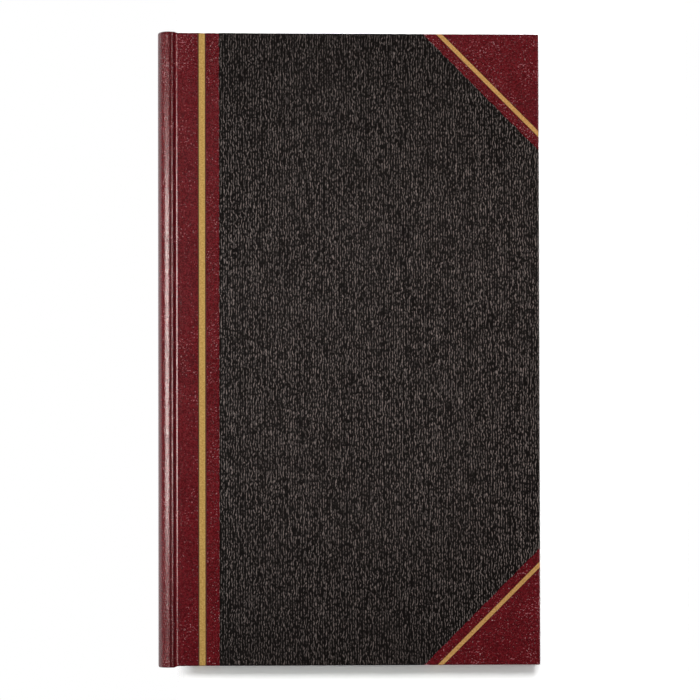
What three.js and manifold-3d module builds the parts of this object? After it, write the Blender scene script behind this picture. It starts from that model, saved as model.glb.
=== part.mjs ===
// A casebound record book with a round spine, lying closed on its back cover.
// Millimetres. +Z is up, +Y points to the head of the book and +X to its fore-edge.
// The origin is on the surface that the book lies on, under the middle of the closed book.
// Shapes are drawn in book coordinates: x from the spine's outermost line, z from mid-thickness.
// The back cover is the front cover turned over, so one function makes both.
import * as THREE from "three";
import { mergeVertices } from "three/addons/utils/BufferGeometryUtils.js";
import Module from "manifold-3d";

// Covered boards
const coverHeight = 362;
const coverWidth = 218.4;
const skin = 0.5;
const boardThickness = 2.4;
const turnIn = 15;
const innerEdgeRadius = 0.3;
const cornerTipRadius = 1;

// Three-quarter covering: spine leather, side cloth, corners and gold rules
const leatherReach = 34.4;
const cornerLeg = 67;
const seamGap = 0.3;
const spineRuleCentre = 24.6;
const spineRuleWidth = 3.5;
const cornerRuleLeg = 57.7;
const cornerRuleWidth = 2.3;
const ruleDepth = 0.2;
const foilThickness = 0.1;
const foilMargin = 0.15;

// Round spine and the groove along each board
const shoulderCrestX = 4.8;
const shoulderRadius = 1.6;
const shoulderDrop = 0.5;
const grooveDepth = 2.75;
const grooveRadius = 0.9;
const boardEdgeX = 10.6;
const boardShoulderX = 10.9;
const boardShoulderRadius = 0.8;
const spineOverhang = 0.9;

// Book block
const signatureCount = 15;
const leavesPerSignature = 10;
const leafThickness = 0.11;
const headSquare = 3;
const foreEdgeSquare = 3.5;
const leafHingeX = 10.6;

// Layers on the back of the block, from the leather inwards
const glueLine = 0.1;
const inlayThickness = 1;
const hollowGap = 0.3;
const liningThickness = 0.3;
const mullThickness = 0.3;
const tapeThickness = 0.4;

// Endpapers, mull, tapes, stitches and bands
const endpaper = 0.2;
const mullReach = 36;
const tapeCount = 5;
const tapeWidth = 12;
const kettleInset = 12;
const bandRadius = 0.8;

// Line that a cover turns about, and the gaps that its leather and paper flex across
const hingeX = 8.8;
const flexGap = 0.3;

// Levels, from mid-thickness out to the cover's outer face
const signatureThickness = leavesPerSignature * leafThickness;
const halfBlock = (signatureCount * signatureThickness) / 2;
const flyleafFace = halfBlock + endpaper;
const turnInFace = flyleafFace + endpaper;
const boardInside = turnInFace + skin;
const boardOutside = boardInside + boardThickness;
const halfThickness = boardOutside + skin;

// Depths, from the spine's outer face in to the folds
const inlayDepth = skin + glueLine;
const spineTurnInDepth = inlayDepth + inlayThickness + glueLine;
const liningDepth = spineTurnInDepth + skin + hollowGap;
const mullDepth = liningDepth + liningThickness + glueLine;
const tapeDepth = mullDepth + mullThickness + glueLine;
const foldDepth = tapeDepth + tapeThickness + glueLine;

// Lengths and reaches that follow from the covered boards
const halfCover = coverHeight / 2;
const halfBoard = halfCover - skin;
const halfPage = halfCover - headSquare;
const kettleStation = halfPage - kettleInset;
const tapeSpacing = (2 * kettleStation) / (tapeCount + 1);
const halfSpine = halfCover + spineOverhang;
const halfOpen = halfCover - turnIn;
const pageForeEdge = coverWidth - foreEdgeSquare;
const fixedEnd = hingeX - flexGap / 2;
const movingEnd = hingeX + flexGap / 2;
const beyond = 2 * coverHeight;

// Circles that the spine's outer face rolls over: back, shoulder, groove and board edge
const shoulderCentreZ = halfThickness - shoulderDrop - shoulderRadius;
const spineRadius =
  (shoulderCrestX ** 2 + shoulderCentreZ ** 2 - shoulderRadius ** 2) /
  (2 * (shoulderCrestX - shoulderRadius));
const shoulderAngle = Math.atan2(shoulderCentreZ, shoulderCrestX - spineRadius);
const grooveCentreZ = halfThickness - grooveDepth + grooveRadius;
const grooveRise = grooveCentreZ - shoulderCentreZ;
const grooveRun = Math.sqrt((shoulderRadius + grooveRadius) ** 2 - grooveRise ** 2);
const grooveCentreX = shoulderCrestX + grooveRun;
const grooveAngle = Math.atan2(grooveRise, grooveRun);
const boardShoulderZ = halfThickness - boardShoulderRadius;
const slopeRun = boardShoulderX - grooveCentreX;
const slopeRise = boardShoulderZ - grooveCentreZ;
const slopeAngle =
  Math.atan2(slopeRise, slopeRun) +
  Math.asin((boardShoulderRadius + grooveRadius) / Math.hypot(slopeRun, slopeRise));

const wasm = await Module();
wasm.setup();

// Moves every point to a fine grid that 32-bit numbers hold exactly, so that touching faces agree.
function onGrid(geometry) {
  const stepsPerMillimetre = 4096;
  const places = geometry.attributes.position.array;
  places.forEach((place, i) => {
    places[i] = Math.round(place * stepsPerMillimetre) / stepsPerMillimetre;
  });
  return geometry;
}

// Makes a solid that can be joined and cut from a three.js geometry.
function solid(geometry) {
  const bare = onGrid(geometry.clone());
  bare.deleteAttribute("normal");
  bare.deleteAttribute("uv");
  const merged = mergeVertices(bare, 1e-5);
  const mesh = new wasm.Mesh({
    numProp: 3,
    vertProperties: merged.attributes.position.array,
    triVerts: new Uint32Array(merged.index.array),
  });
  return new wasm.Manifold(mesh);
}

// Turns a solid back into a three.js geometry with flat faces.
function geometryOf(manifold) {
  const mesh = manifold.getMesh();
  const shared = new THREE.BufferGeometry();
  shared.setAttribute("position", new THREE.BufferAttribute(mesh.vertProperties, 3));
  shared.setIndex(new THREE.BufferAttribute(mesh.triVerts, 1));
  const flat = shared.toNonIndexed();
  flat.computeVertexNormals();
  return flat;
}

// Extrudes an outline in x and z along y.
function alongY(outline, fromY, toY) {
  const settings = { depth: toY - fromY, bevelEnabled: false };
  const geometry = new THREE.ExtrudeGeometry(new THREE.Shape(outline), settings);
  return geometry.rotateX(Math.PI / 2).translate(0, toY, 0);
}

// Extrudes an outline in x and y along z.
function alongZ(outline, fromZ, toZ) {
  const settings = { depth: toZ - fromZ, bevelEnabled: false };
  const geometry = new THREE.ExtrudeGeometry(new THREE.Shape(outline), settings);
  return geometry.translate(0, 0, fromZ);
}

// Extrudes an outline in y and z along x.
function alongX(outline, fromX, toX) {
  const settings = { depth: toX - fromX, bevelEnabled: false };
  const geometry = new THREE.ExtrudeGeometry(new THREE.Shape(outline), settings);
  const turned = new THREE.Matrix4().makeBasis(
    new THREE.Vector3(0, 1, 0),
    new THREE.Vector3(0, 0, 1),
    new THREE.Vector3(1, 0, 0),
  );
  return geometry.applyMatrix4(turned).translate(fromX, 0, 0);
}

function block(fromX, toX, fromY, toY, fromZ, toZ) {
  const geometry = new THREE.BoxGeometry(toX - fromX, toY - fromY, toZ - fromZ);
  return geometry.translate((fromX + toX) / 2, (fromY + toY) / 2, (fromZ + toZ) / 2);
}

// Points on an arc from one angle to another, both ends included.
function arc(x, y, radius, fromAngle, toAngle, steps) {
  return Array.from({ length: steps + 1 }, (_, i) => {
    const angle = fromAngle + ((toAngle - fromAngle) * i) / steps;
    return new THREE.Vector2(x + radius * Math.cos(angle), y + radius * Math.sin(angle));
  });
}

// A rectangle with a radius at each corner: left low, right low, right high, left high.
function roundedRectangle(x0, y0, x1, y1, radii) {
  const centres = [
    [x0 + radii[0], y0 + radii[0]],
    [x1 - radii[1], y0 + radii[1]],
    [x1 - radii[2], y1 - radii[2]],
    [x0 + radii[3], y1 - radii[3]],
  ];
  return centres.flatMap(([x, y], i) => {
    const start = Math.PI * (1 + i / 2);
    return radii[i] > 0
      ? arc(x, y, radii[i], start, start + Math.PI / 2, 3)
      : [new THREE.Vector2(x, y)];
  });
}

// The angle on the spine's arc, at a depth, where it reaches a height.
const angleAtHeight = (depth, z) => Math.PI - Math.asin(z / (spineRadius - depth));

// The spine's arc at a depth, from mid-thickness up to an angle.
const spineArc = (depth, toAngle) => arc(spineRadius, 0, spineRadius - depth, Math.PI, toAngle, 8);

// The shoulder's round crest at a depth, from the spine's arc down to an angle.
const shoulderArc = (depth, toAngle) =>
  arc(shoulderCrestX, shoulderCentreZ, shoulderRadius - depth, shoulderAngle, toAngle, 6);

// The groove's floor at a depth, from the shoulder to the slope.
const grooveArc = (depth) =>
  arc(
    grooveCentreX,
    grooveCentreZ,
    grooveRadius + depth,
    grooveAngle + Math.PI,
    slopeAngle + 1.5 * Math.PI,
    4,
  );

// The turn from the slope onto the board's outer face, at a depth.
const boardArc = (depth) =>
  arc(
    boardShoulderX,
    boardShoulderZ,
    boardShoulderRadius - depth,
    slopeAngle + Math.PI / 2,
    Math.PI / 2,
    3,
  );

const turnedOver = (points) => points.map((point) => new THREE.Vector2(point.x, -point.y));

// Closes two lines that start at mid-thickness into a strip that runs on both sides of it.
function strip(outer, inner) {
  return [
    ...turnedOver(outer).reverse(),
    ...outer.slice(1),
    ...[...inner].reverse(),
    ...turnedOver(inner).slice(1),
  ];
}

// A strip on the back of the block, between two depths, as wide as the block plus a margin.
function backStrip(depth, thickness, halfWidth) {
  const outer = spineArc(depth, angleAtHeight(depth, halfWidth));
  const inner = spineArc(depth + thickness, angleAtHeight(depth + thickness, halfWidth));
  return strip(outer, inner);
}

// The covered board's outer shape beside the groove, with its edges rounded as the skin folds.
function coveredPlate() {
  const foreEdge = roundedRectangle(boardEdgeX, turnInFace, coverWidth, halfThickness, [
    0,
    innerEdgeRadius,
    skin,
    0,
  ]);
  const headAndTail = roundedRectangle(-halfCover, turnInFace, halfCover, halfThickness, [
    innerEdgeRadius,
    innerEdgeRadius,
    skin,
    skin,
  ]);
  const plan = roundedRectangle(boardEdgeX, -halfCover, coverWidth, halfCover, [
    0,
    cornerTipRadius,
    cornerTipRadius,
    0,
  ]);
  return solid(alongY(foreEdge, -halfCover, halfCover))
    .intersect(solid(alongX(headAndTail, boardEdgeX, coverWidth)))
    .intersect(solid(alongZ(plan, turnInFace, halfThickness)));
}

// The bare binder's board.
const board = () =>
  block(boardEdgeX, coverWidth - skin, -halfBoard, halfBoard, boardInside, boardOutside);

// Everything wrapped round the board: outer face, edges and turn-ins, before it is cut up.
function wrapping() {
  const open = block(-beyond, coverWidth - turnIn, -halfOpen, halfOpen, 0, boardInside);
  return coveredPlate().subtract(solid(board())).subtract(solid(open));
}

// The leather that climbs from the groove onto the board.
function slopeLeather() {
  const toBoard = new THREE.Vector2(boardShoulderX, halfThickness);
  const underBoard = new THREE.Vector2(boardShoulderX, boardOutside);
  const outline = [...grooveArc(0), ...boardArc(0), toBoard, underBoard];
  outline.push(...boardArc(skin).reverse(), ...grooveArc(skin).reverse());
  const fixed = block(-beyond, movingEnd, -beyond, beyond, 0, beyond);
  return solid(alongY(outline, -halfCover, halfCover))
    .subtract(solid(fixed))
    .subtract(solid(board()));
}

// A place on the cover, measured in from its fore-edge and from its head or tail.
const fromCorner = (side, across, down) =>
  new THREE.Vector2(coverWidth - across, side * (halfCover - down));

// The cover at one corner: a triangle outside, and its folded-over shape on the inside.
function cornerRegion(side, gap) {
  const leg = cornerLeg + gap * Math.SQRT2;
  const middle = (boardInside + boardOutside) / 2;
  const outside = [[0, 0], [leg, 0], [0, leg]];
  const folded = [[0, 0], [leg, 0], [leg + turnIn, turnIn], [turnIn, leg + turnIn], [0, leg]];
  const place = (points) => points.map(([across, down]) => fromCorner(side, across, down));
  const upper = solid(alongZ(place(outside), middle, halfThickness));
  return upper.add(solid(alongZ(place(folded), turnInFace, middle)));
}

// The line of the spine rule, drawn in by a margin, between two heights.
function spineRuleSlab(margin, fromZ, toZ) {
  const half = spineRuleWidth / 2 - margin;
  const end = halfCover - (margin > 0 ? skin : 0);
  return block(spineRuleCentre - half, spineRuleCentre + half, -end, end, fromZ, toZ);
}

// The line of a corner rule, drawn in by a margin, between two heights.
function cornerRuleSlab(side, margin, fromZ, toZ) {
  const half = (cornerRuleWidth / 2 - margin) * Math.SQRT2;
  const near = cornerRuleLeg - half;
  const far = cornerRuleLeg + half;
  const inset = margin > 0 ? skin : 0;
  const outline = [
    fromCorner(side, near - inset, inset),
    fromCorner(side, far - inset, inset),
    fromCorner(side, inset, far - inset),
    fromCorner(side, inset, near - inset),
  ];
  return alongZ(outline, fromZ, toZ);
}

const ruleFloor = halfThickness - ruleDepth;

function spineFlange() {
  const pastLeather = block(leatherReach, 2 * coverWidth, -beyond, beyond, 0, beyond);
  return wrapping()
    .subtract(solid(pastLeather))
    .add(slopeLeather())
    .subtract(solid(spineRuleSlab(0, ruleFloor, beyond)));
}

function cornerLeather(side) {
  return wrapping()
    .intersect(cornerRegion(side, 0))
    .subtract(solid(cornerRuleSlab(side, 0, ruleFloor, beyond)));
}

function siding() {
  const leather = block(0, leatherReach, -beyond, beyond, 0, beyond);
  return wrapping()
    .subtract(solid(leather))
    .subtract(cornerRegion(1, seamGap))
    .subtract(cornerRegion(-1, seamGap));
}

// The wing of mull that is glued to the inside of a board.
const mullWing = () =>
  block(movingEnd, mullReach, -halfOpen, halfOpen, boardInside - mullThickness, boardInside);

// The sheet glued inside a cover, stepping down from the turn-ins to the mull and to the board.
function pastedown() {
  const innerEnd = coverWidth - turnIn;
  const overMull = boardInside - mullThickness;
  const sheet = block(movingEnd, pageForeEdge, -halfPage, halfPage, flyleafFace, boardInside);
  const underSheet = block(
    mullReach + endpaper,
    innerEnd - endpaper,
    -halfOpen + endpaper,
    halfOpen - endpaper,
    0,
    boardInside - endpaper,
  );
  const underMull = block(
    0,
    mullReach + 2 * endpaper,
    -halfOpen + endpaper,
    halfOpen - endpaper,
    0,
    overMull - endpaper,
  );
  const besideBoard = block(0, boardEdgeX, -beyond, beyond, turnInFace, beyond);
  const open = block(0, innerEnd, -halfOpen, halfOpen, 0, beyond);
  const overTurnIns = solid(block(0, beyond, -beyond, beyond, turnInFace, beyond));
  return solid(sheet)
    .subtract(overTurnIns.subtract(solid(open)))
    .subtract(solid(mullWing()))
    .subtract(solid(underSheet))
    .subtract(solid(underMull))
    .subtract(solid(besideBoard));
}

// Faces between signatures, counted down from the front of the block.
const faceZ = (count) => halfBlock - count * signatureThickness;

// Where the outside of the folds lies at a height, less a radius that rolls inside it.
const foldX = (z, radius) =>
  spineRadius - Math.sqrt((spineRadius - foldDepth - radius) ** 2 - z ** 2);

// The fore-edge is hollow by as much as the back is round.
const foreEdgeX = (z) => pageForeEdge - foldX(halfBlock, 0) + foldX(z, 0);

// A signature's outline, from its round fold to an end that two corners give.
function signatureOutline(number, lowEndX, highEndX) {
  const high = faceZ(number - 1);
  const low = faceZ(number);
  const radius = signatureThickness / 2;
  const middle = (high + low) / 2;
  return [
    ...arc(foldX(middle, radius), middle, radius, Math.PI / 2, 1.5 * Math.PI, 6),
    new THREE.Vector2(lowEndX, low),
    new THREE.Vector2(highEndX, high),
  ];
}

const wholeSignature = (number) => {
  const outline = signatureOutline(
    number,
    foreEdgeX(faceZ(number)),
    foreEdgeX(faceZ(number - 1)),
  );
  return alongY(outline, -halfPage, halfPage);
};

const signatureFold = (number) => {
  const end = leafHingeX - flexGap;
  return alongY(signatureOutline(number, end, end), -halfPage, halfPage);
};

const signatureLeaves = (number) => {
  const high = faceZ(number - 1);
  const low = faceZ(number);
  const outline = [
    new THREE.Vector2(leafHingeX, low),
    new THREE.Vector2(foreEdgeX(low), low),
    new THREE.Vector2(foreEdgeX(high), high),
    new THREE.Vector2(leafHingeX, high),
  ];
  return alongY(outline, -halfPage, halfPage);
};

// A round cord that lies across the back of the block, following its arc.
function cordAcross(depth, radius, halfWidth, y) {
  const reach = spineRadius - depth;
  const points = arc(spineRadius, 0, reach, Math.PI, angleAtHeight(depth, halfWidth), 8);
  const line = [...turnedOver(points).reverse(), ...points.slice(1)];
  const path = new THREE.CatmullRomCurve3(line.map((p) => new THREE.Vector3(p.x, y, p.y)));
  const section = new THREE.Shape(arc(0, 0, radius, 0, 2 * Math.PI, 8).slice(1));
  const settings = { steps: 16, bevelEnabled: false, extrudePath: path };
  return new THREE.ExtrudeGeometry(section, settings);
}

// The leather over the spine, folded in at the head and the tail.
function spineLeather() {
  const outer = [...spineArc(0, shoulderAngle), ...shoulderArc(0, grooveAngle).slice(1)];
  const inner = [...spineArc(skin, shoulderAngle), ...shoulderArc(skin, grooveAngle).slice(1)];
  const face = strip(
    [...outer, ...grooveArc(0).slice(1), ...boardArc(0)],
    [...inner, ...grooveArc(skin).slice(1), ...boardArc(skin)],
  );
  const moving = block(fixedEnd, beyond, -beyond, beyond, -beyond, beyond);
  const all = solid(alongY(face, -halfSpine, halfSpine)).subtract(solid(moving));
  const foldedWidth = shoulderCentreZ - shoulderRadius;
  const cap = backStrip(skin, spineTurnInDepth, foldedWidth);
  const folded = backStrip(spineTurnInDepth, skin, foldedWidth);
  return [1, -1].reduce((leather, side) => {
    const ends = (near, far) => (side > 0 ? [near, far] : [-far, -near]);
    return leather
      .add(solid(alongY(cap, ...ends(halfSpine - skin, halfSpine))))
      .add(solid(alongY(folded, ...ends(halfSpine - turnIn, halfSpine))));
  }, all);
}

// The stiff strip inside the spine, with a round lip that fills each shoulder.
function spineInlay() {
  const lip = shoulderArc(inlayDepth, -Math.PI / 2);
  const lipFoot = lip[lip.length - 1].y;
  const innerDepth = inlayDepth + inlayThickness;
  const outer = [...spineArc(inlayDepth, shoulderAngle), ...lip.slice(1)];
  const inner = spineArc(innerDepth, angleAtHeight(innerDepth, lipFoot));
  const end = halfSpine - skin - glueLine;
  return alongY(strip(outer, inner), -end, end);
}

// The mull over the back of the block and down onto the endpapers.
function spineMull() {
  const outerFace = flyleafFace + mullThickness;
  const innerDepth = mullDepth + mullThickness;
  const outer = spineArc(mullDepth, angleAtHeight(mullDepth, outerFace));
  const inner = spineArc(innerDepth, angleAtHeight(innerDepth, flyleafFace));
  outer.push(new THREE.Vector2(fixedEnd, outerFace));
  inner.push(new THREE.Vector2(fixedEnd, flyleafFace));
  return alongY(strip(outer, inner), -halfOpen, halfOpen);
}

const material = (color, roughness, metalness = 0) =>
  new THREE.MeshStandardMaterial({ color, roughness, metalness });

const leather = material(0x5e2225, 0.5);
const cloth = material(0x322c2a, 0.65);
const gold = material(0xb69355, 0.35, 0.8);
const greyBoard = material(0x9a948a, 0.9);
const paper = material(0xe9e4d4, 0.85);
const pages = material(0xdfe3d2, 0.85);
const kraft = material(0xb08d62, 0.9);
const gauze = material(0xe6e0cf, 0.95);
const tape = material(0xd8cfb8, 0.9);
const bandSilk = material(0x8a2c2c, 0.7);

function piece(name, shape, finish) {
  const geometry = shape.isBufferGeometry ? shape : geometryOf(shape);
  const mesh = new THREE.Mesh(onGrid(geometry), finish);
  mesh.name = name;
  return mesh;
}

// One cover lying on the front of the block, with the names of its two ends.
function cover(name, upper, lower) {
  const group = new THREE.Group();
  const foilTop = ruleFloor + foilThickness;
  const spineRule = spineRuleSlab(foilMargin, ruleFloor, foilTop);
  group.add(piece(`${name}_board`, board(), greyBoard));
  group.add(piece(`${name}_spine_flange`, spineFlange(), leather));
  group.add(piece(`${name}_siding`, siding(), cloth));
  group.add(piece(`${name}_spine_rule`, spineRule, gold));
  group.add(piece(`${name}_mull_wing`, mullWing(), gauze));
  group.add(piece(`${name}_pastedown`, pastedown(), paper));
  for (const [end, side] of [[upper, 1], [lower, -1]]) {
    const rule = cornerRuleSlab(side, foilMargin, ruleFloor, foilTop);
    group.add(piece(`${name}_${end}_corner`, cornerLeather(side), leather));
    group.add(piece(`${name}_${end}_corner_rule`, rule, gold));
  }
  return group;
}

// An endpaper's two parts: the strip glued to the block, and the leaf that turns.
function endpaperLeaf(name) {
  const group = new THREE.Group();
  const glued = block(
    foldX(halfBlock, 0),
    leafHingeX - flexGap,
    -halfPage,
    halfPage,
    halfBlock,
    flyleafFace,
  );
  const leaf = block(leafHingeX, pageForeEdge, -halfPage, halfPage, halfBlock, flyleafFace);
  group.add(piece(`${name}_endpaper_strip`, glued, paper));
  group.add(piece(`${name}_flyleaf`, leaf, paper));
  return group;
}

const twoDigits = (number) => String(number).padStart(2, "0");

function bookBlock() {
  const group = new THREE.Group();
  const turning = [1, 2, signatureCount];
  for (let number = 1; number <= signatureCount; number += 1) {
    const name = `signature_${twoDigits(number)}`;
    if (turning.includes(number)) {
      group.add(piece(`${name}_fold`, signatureFold(number), pages));
      group.add(piece(`${name}_leaves`, signatureLeaves(number), pages));
    } else {
      group.add(piece(name, wholeSignature(number), pages));
    }
  }
  return group;
}

// Tapes, kettle stitches, mull, lining and bands on the back of the block.
function backOfBlock() {
  const group = new THREE.Group();
  const tapeSection = backStrip(tapeDepth, tapeThickness, halfBlock);
  for (let number = 1; number <= tapeCount; number += 1) {
    const station = number * tapeSpacing - kettleStation;
    const strap = alongY(tapeSection, station - tapeWidth / 2, station + tapeWidth / 2);
    group.add(piece(`sewing_tape_${number}`, strap, tape));
  }
  const threadRadius = tapeThickness / 2;
  const threadDepth = tapeDepth + threadRadius;
  const bandDepth = foldDepth + bandRadius;
  const liningSection = backStrip(liningDepth, liningThickness, halfBlock);
  for (const [end, side] of [["head", 1], ["tail", -1]]) {
    const stitch = cordAcross(threadDepth, threadRadius, halfBlock, side * kettleStation);
    const bandY = side * (halfPage + bandRadius + glueLine);
    const band = cordAcross(bandDepth, bandRadius, halfBlock - bandRadius, bandY);
    group.add(piece(`${end}_kettle_stitch`, stitch, tape));
    group.add(piece(`${end}_band`, band, bandSilk));
  }
  group.add(piece("spine_mull", spineMull(), gauze));
  group.add(piece("spine_lining", alongY(liningSection, -halfOpen, halfOpen), kraft));
  group.add(piece("spine_inlay", spineInlay(), greyBoard));
  group.add(piece("spine_leather", spineLeather(), leather));
  return group;
}

// The back half is the front half turned over, so its head and tail change places.
const backHalf = new THREE.Group();
backHalf.rotation.x = Math.PI;
backHalf.add(cover("back", "tail", "head"), endpaperLeaf("back"));

const recordBook = new THREE.Group();
recordBook.add(cover("front", "head", "tail"), endpaperLeaf("front"));
recordBook.add(backHalf, bookBlock(), backOfBlock());
recordBook.position.set(-coverWidth / 2, 0, halfThickness);

export default recordBook;
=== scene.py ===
import math
import random

import bmesh
import bpy
from mathutils import Matrix, Vector


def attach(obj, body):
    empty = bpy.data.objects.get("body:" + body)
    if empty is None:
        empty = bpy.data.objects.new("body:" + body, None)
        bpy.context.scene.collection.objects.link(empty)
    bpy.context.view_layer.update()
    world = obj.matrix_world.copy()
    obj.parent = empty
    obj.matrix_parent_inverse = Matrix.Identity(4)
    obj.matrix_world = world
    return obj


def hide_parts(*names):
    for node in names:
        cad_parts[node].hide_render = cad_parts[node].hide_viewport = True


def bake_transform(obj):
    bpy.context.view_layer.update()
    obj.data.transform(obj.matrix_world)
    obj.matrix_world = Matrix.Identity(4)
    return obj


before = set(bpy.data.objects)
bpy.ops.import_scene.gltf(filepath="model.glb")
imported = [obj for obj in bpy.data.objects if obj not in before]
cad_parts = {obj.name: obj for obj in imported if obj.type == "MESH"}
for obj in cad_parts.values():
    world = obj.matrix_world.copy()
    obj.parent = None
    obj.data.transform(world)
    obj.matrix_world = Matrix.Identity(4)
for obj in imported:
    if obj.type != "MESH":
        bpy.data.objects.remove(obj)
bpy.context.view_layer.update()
bpy.context.scene.view_settings.view_transform = "Standard"


# Signatures of ledger paper: each is five sheets folded together to ten leaves and sewn through
# the fold. They step round with the back, and the fore-edge was cut before rounding, so it is hollow.
# Everything is drawn in millimetres from the spine's outermost line and from mid-thickness.
cover_width = 218.4
half_cover = 181
half_thickness = 12.05
half_page = 178
spine_radius = 18.669
fold_depth = 3.8
half_block = 8.25
signatures = 15
sheets = 5
leaf = 0.11
leaf_caliper = 0.088
fold_radius = sheets * leaf
fold_steps = 8
page_fore_edge = 214.9
turning = {1: "first_leaves", 2: "second_leaves", signatures: "last_leaves"}

paper_turns_from, paper_turns_to = 8.8, 11.8
bend_steps = 24
bend_step = (paper_turns_to - paper_turns_from) / bend_steps
paper_bend = [paper_turns_from + bend_step * i for i in range(bend_steps + 1)]
turning_page = [198, 180, 150, 120, 90, 60, 40, 26, 18, 14] + paper_bend[::-1] + [8.0]
still_page = [198, 150, 100, 50, 12]
rows_down_page = 12
trim_spread = (-0.07, 0.03)
knife_wave, waves_per_millimetre = 0.05, 41
all_smooth = 1e9

line_pitch, line_share = 0.0071, 0.045
head_margin = 0.152
column_places = (-0.066, 0.062, 0.091)
column_line = 0.00022
line_blue, column_red = (0.25, 0.42, 0.5, 1), (0.55, 0.14, 0.16, 1)


def lay(work, name, turned=False, flat_above=60, sharp=40):
    """Lays a drawn piece in its place on the book; turned lays it on the back cover."""
    place = work.verts.layers.float_vector.new("laid")
    to_place = Matrix.Translation((-cover_width / 2000, 0, half_thickness / 1000)) @ Matrix.Scale(0.001, 4)
    if turned:
        to_place = to_place @ Matrix.Rotation(math.pi, 4, "X")
    bmesh.ops.transform(work, matrix=to_place, verts=work.verts)
    for vert in work.verts:
        vert[place] = vert.co
    shape = bpy.data.meshes.new(name)
    work.to_mesh(shape)
    work.free()
    shape.set_sharp_from_angle(angle=math.radians(sharp))
    for face in shape.polygons:
        face.use_smooth = face.area < flat_above * 1e-6
    piece = bpy.data.objects.new(name, shape)
    bpy.context.collection.objects.link(piece)
    return piece


def face_outwards(work, seed, way):
    """Makes all faces agree, with the one nearest the seed facing the given way."""
    bmesh.ops.recalc_face_normals(work, faces=work.faces)
    nearest = min(work.faces, key=lambda face: (face.calc_center_median() - Vector(seed)).length)
    if nearest.normal.dot(Vector(way)) < 0:
        bmesh.ops.reverse_faces(work, faces=work.faces)


def give_thickness(piece, millimetres, offset=-1.0, edge_finish=0):
    """Gives a drawn surface its caliper, inwards unless the offset says otherwise."""
    wall = piece.modifiers.new("caliper", "SOLIDIFY")
    wall.thickness = millimetres / 1000
    wall.offset = offset
    wall.material_offset_rim = edge_finish


def bend_at_joint(piece):
    """Bakes a piece's place into its mesh."""
    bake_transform(piece)


def step(material, kind, inputs=(), **settings):
    """Adds one node to a finish; an input given as a socket is linked and any other is set."""
    made = material.node_tree.nodes.new("ShaderNode" + kind)
    for setting, value in settings.items():
        setattr(made, setting, value)
    for socket, value in dict(inputs).items():
        if isinstance(value, bpy.types.NodeSocket):
            material.node_tree.links.new(value, made.inputs[socket])
        else:
            made.inputs[socket].default_value = value
    return made


def new_finish(name, roughness, **plain):
    """Starts a finish and returns it with its shader."""
    material = bpy.data.materials.new(name)
    material.use_nodes = True
    shader = material.node_tree.nodes["Principled BSDF"]
    shader.inputs["Roughness"].default_value = roughness
    for socket, value in plain.items():
        shader.inputs[socket.replace("_", " ")].default_value = value
    return material, shader


def laid(material, scale=(1, 1, 1)):
    """Where a point lies on the closed book, stretched along each way by a scale."""
    place = step(material, "Attribute", attribute_name="laid")
    return step(material, "Mapping", {"Vector": place.outputs["Vector"], "Scale": scale}).outputs[0]


def on_object(material, scale=(1, 1, 1)):
    """The same for a piece of the frame, which never bends."""
    place = step(material, "TexCoord")
    return step(material, "Mapping", {"Vector": place.outputs["Object"], "Scale": scale}).outputs[0]


def along(material, place, way):
    """One of a place's three measures: 0 across the book, 1 towards its head and 2 upwards."""
    return step(material, "SeparateXYZ", {0: place}).outputs[way]


def noise(material, place, scale, detail=3.0, roughness=0.5):
    """Soft random mottling, from 0 to 1."""
    inputs = {"Vector": place, "Scale": scale, "Detail": detail, "Roughness": roughness}
    return step(material, "TexNoise", inputs).outputs["Fac"]


def math_of(material, operation, a, b=0.0):
    """One sum of two values."""
    return step(material, "Math", {0: a, 1: b}, operation=operation).outputs[0]


def away_from(material, value, middle=0.0):
    """How far a value is from a middle, to either side."""
    return math_of(material, "ABSOLUTE", math_of(material, "SUBTRACT", value, middle))


def ramp(material, value, from_low, from_high, to_low=0.0, to_high=1.0):
    """Turns one range of a value into another, held at both ends."""
    inputs = {"Value": value, "From Min": from_low, "From Max": from_high,
              "To Min": to_low, "To Max": to_high}
    return step(material, "MapRange", inputs).outputs[0]


def tint(material, share, first, second):
    """Goes from the first colour to the second as the share goes from 0 to 1."""
    inputs = {0: share, 6: first, 7: second}
    return step(material, "Mix", inputs, data_type="RGBA").outputs[2]


def relief(material, shader, height, millimetres):
    """Raises the surface's grain by a height from 0 to 1."""
    bump = step(material, "Bump", {"Height": height, "Distance": millimetres / 1000, "Strength": 1.0})
    material.node_tree.links.new(bump.outputs[0], shader.inputs["Normal"])


def colour_by(material, shader, colour):
    """Gives a finish its colour."""
    material.node_tree.links.new(colour, shader.inputs["Base Color"])


def paper_finish(name, low, high, read_place):
    """Uncoated paper: slightly cloudy, with a faint tooth. Also returns its shader and its colour."""
    material, shader = new_finish(name, 0.85, Specular_IOR_Level=0.25)
    cloud = tint(material, noise(material, read_place(material), scale=60, detail=4), low, high)
    colour_by(material, shader, cloud)
    relief(material, shader, noise(material, read_place(material), scale=2500, detail=2), 0.02)
    return material, shader, cloud


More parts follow.
